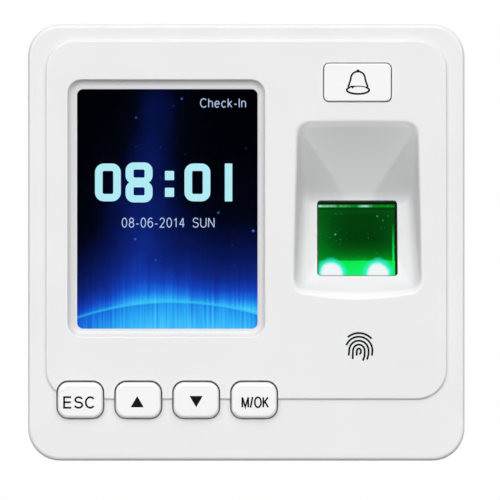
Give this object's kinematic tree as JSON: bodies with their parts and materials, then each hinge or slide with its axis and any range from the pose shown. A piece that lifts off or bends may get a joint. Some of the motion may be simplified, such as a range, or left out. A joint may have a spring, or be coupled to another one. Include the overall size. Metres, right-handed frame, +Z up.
{
  "type": "fingerprint scanner terminal",
  "caption": "Square white wall-mounted access terminal with a colour display, menu keys, a bell key and an optical fingerprint sensor in a finger recess, hung on a steel wall plate.",
  "frame": {"origin": "centre of the wall plate's four corner holes, on the plate's rear face, which is the plane of the wall", "axes": "+X to the right as seen from the front, +Y into the wall (the front faces -Y), +Z up"},
  "size_m": [0.0944, 0.0352, 0.0944],
  "materials": {
    "cover_white": "satin moulded",
    "rear_white": "fine texture",
    "plate_steel": "zinc plated",
    "screw_steel": "plated",
    "key_white": "smooth",
    "lens_clear": "polished",
    "lcd_face": "lit display",
    "lcd_metal": "pressed sheet",
    "black_rubber": "matt",
    "black_plastic": "moulded",
    "grey_plastic": "moulded",
    "board_green": "solder mask",
    "ribbon_amber": "flexible film",
    "connector_cream": "moulded",
    "header_green": "moulded",
    "chip_black": "moulded",
    "tin": "tinned",
    "gold": "gold plated",
    "can_aluminium": "bright",
    "relay_blue": "moulded",
    "speaker_cone": "film",
    "prism_green": "polished",
    "lamp_green": "lit",
    "camera_glass": "polished"
  },
  "bodies": {
    "wall": {"wall_plate": "plate_steel", "security_screw": "screw_steel"},
    "terminal": {"front_cover": "cover_white", "rear_cover": "rear_white", "cover_screws": "screw_steel", "screen_lens": "lens_clear", "lens_gasket": "black_rubber", "lcd_panel": "lcd_face", "lcd_frame": "lcd_metal", "lcd_tray": "grey_plastic", "lcd_ribbon": "ribbon_amber", "lcd_connector": "connector_cream", "key_board": "board_green", "key_board_screws": "screw_steel", "main_board": "board_green", "main_board_screws": "screw_steel", "board_connector": "black_plastic", "processor": "chip_black", "memory_chips": "chip_black", "chip_leads": "tin", "capacitors": "can_aluminium", "inductor": "black_plastic", "crystal": "tin", "battery_holder": "black_plastic", "backup_battery": "tin", "relay": "relay_blue", "ethernet_jack": "black_plastic", "jack_contacts": "gold", "wire_headers": "header_green", "header_pins": "tin", "usb_port": "tin", "speaker_frame": "black_plastic", "speaker_cone": "speaker_cone", "tamper_switch": "black_plastic", "sensor_prism": "prism_green", "sensor_gasket": "black_rubber", "sensor_housing": "black_plastic", "light_board": "board_green", "green_lamps": "lamp_green", "sensor_lens": "camera_glass", "camera_board": "board_green", "camera_chip": "chip_black", "sensor_screws": "screw_steel", "camera_screws": "screw_steel", "esc_switch": "black_plastic", "up_switch": "black_plastic", "down_switch": "black_plastic", "ok_switch": "black_plastic", "bell_switch": "black_plastic"},
    "esc_key_body": {"esc_key": "key_white"},
    "up_key_body": {"up_key": "key_white"},
    "down_key_body": {"down_key": "key_white"},
    "ok_key_body": {"ok_key": "key_white"},
    "bell_key_body": {"bell_key": "key_white"},
    "esc_plunger_body": {"esc_plunger": "black_plastic"},
    "up_plunger_body": {"up_plunger": "black_plastic"},
    "down_plunger_body": {"down_plunger": "black_plastic"},
    "ok_plunger_body": {"ok_plunger": "black_plastic"},
    "bell_plunger_body": {"bell_plunger": "black_plastic"},
    "tamper_body": {"tamper_plunger": "grey_plastic"}
  },
  "joints": [
    {"name": "terminal_lift", "type": "slide", "parent": "wall", "child": "terminal", "axis": [0, 0, 1], "range_m": [0, 0.006]},
    {"name": "esc_press", "type": "slide", "parent": "terminal", "child": "esc_key_body", "axis": [0, 1, 0], "range_m": [0, 0.0005], "stiffness_N_per_m": 3000},
    {"name": "up_press", "type": "slide", "parent": "terminal", "child": "up_key_body", "axis": [0, 1, 0], "range_m": [0, 0.0005], "stiffness_N_per_m": 3000},
    {"name": "down_press", "type": "slide", "parent": "terminal", "child": "down_key_body", "axis": [0, 1, 0], "range_m": [0, 0.0005], "stiffness_N_per_m": 3000},
    {"name": "ok_press", "type": "slide", "parent": "terminal", "child": "ok_key_body", "axis": [0, 1, 0], "range_m": [0, 0.0005], "stiffness_N_per_m": 3000},
    {"name": "bell_press", "type": "slide", "parent": "terminal", "child": "bell_key_body", "axis": [0, 1, 0], "range_m": [0, 0.0005], "stiffness_N_per_m": 3000},
    {"name": "esc_switch_press", "type": "slide", "parent": "terminal", "child": "esc_plunger_body", "axis": [0, 1, 0], "range_m": [0, 0.0005]},
    {"name": "up_switch_press", "type": "slide", "parent": "terminal", "child": "up_plunger_body", "axis": [0, 1, 0], "range_m": [0, 0.0005]},
    {"name": "down_switch_press", "type": "slide", "parent": "terminal", "child": "down_plunger_body", "axis": [0, 1, 0], "range_m": [0, 0.0005]},
    {"name": "ok_switch_press", "type": "slide", "parent": "terminal", "child": "ok_plunger_body", "axis": [0, 1, 0], "range_m": [0, 0.0005]},
    {"name": "bell_switch_press", "type": "slide", "parent": "terminal", "child": "bell_plunger_body", "axis": [0, 1, 0], "range_m": [0, 0.0005]},
    {"name": "tamper_press", "type": "slide", "parent": "terminal", "child": "tamper_body", "axis": [0, -1, 0], "range_m": [0, 0.0006], "stiffness_N_per_m": 800}
  ],
  "couplings": [
    {"joint": "esc_switch_press", "follows": "esc_press", "ratio": 1},
    {"joint": "up_switch_press", "follows": "up_press", "ratio": 1},
    {"joint": "down_switch_press", "follows": "down_press", "ratio": 1},
    {"joint": "ok_switch_press", "follows": "ok_press", "ratio": 1},
    {"joint": "bell_switch_press", "follows": "bell_press", "ratio": 1}
  ]
}
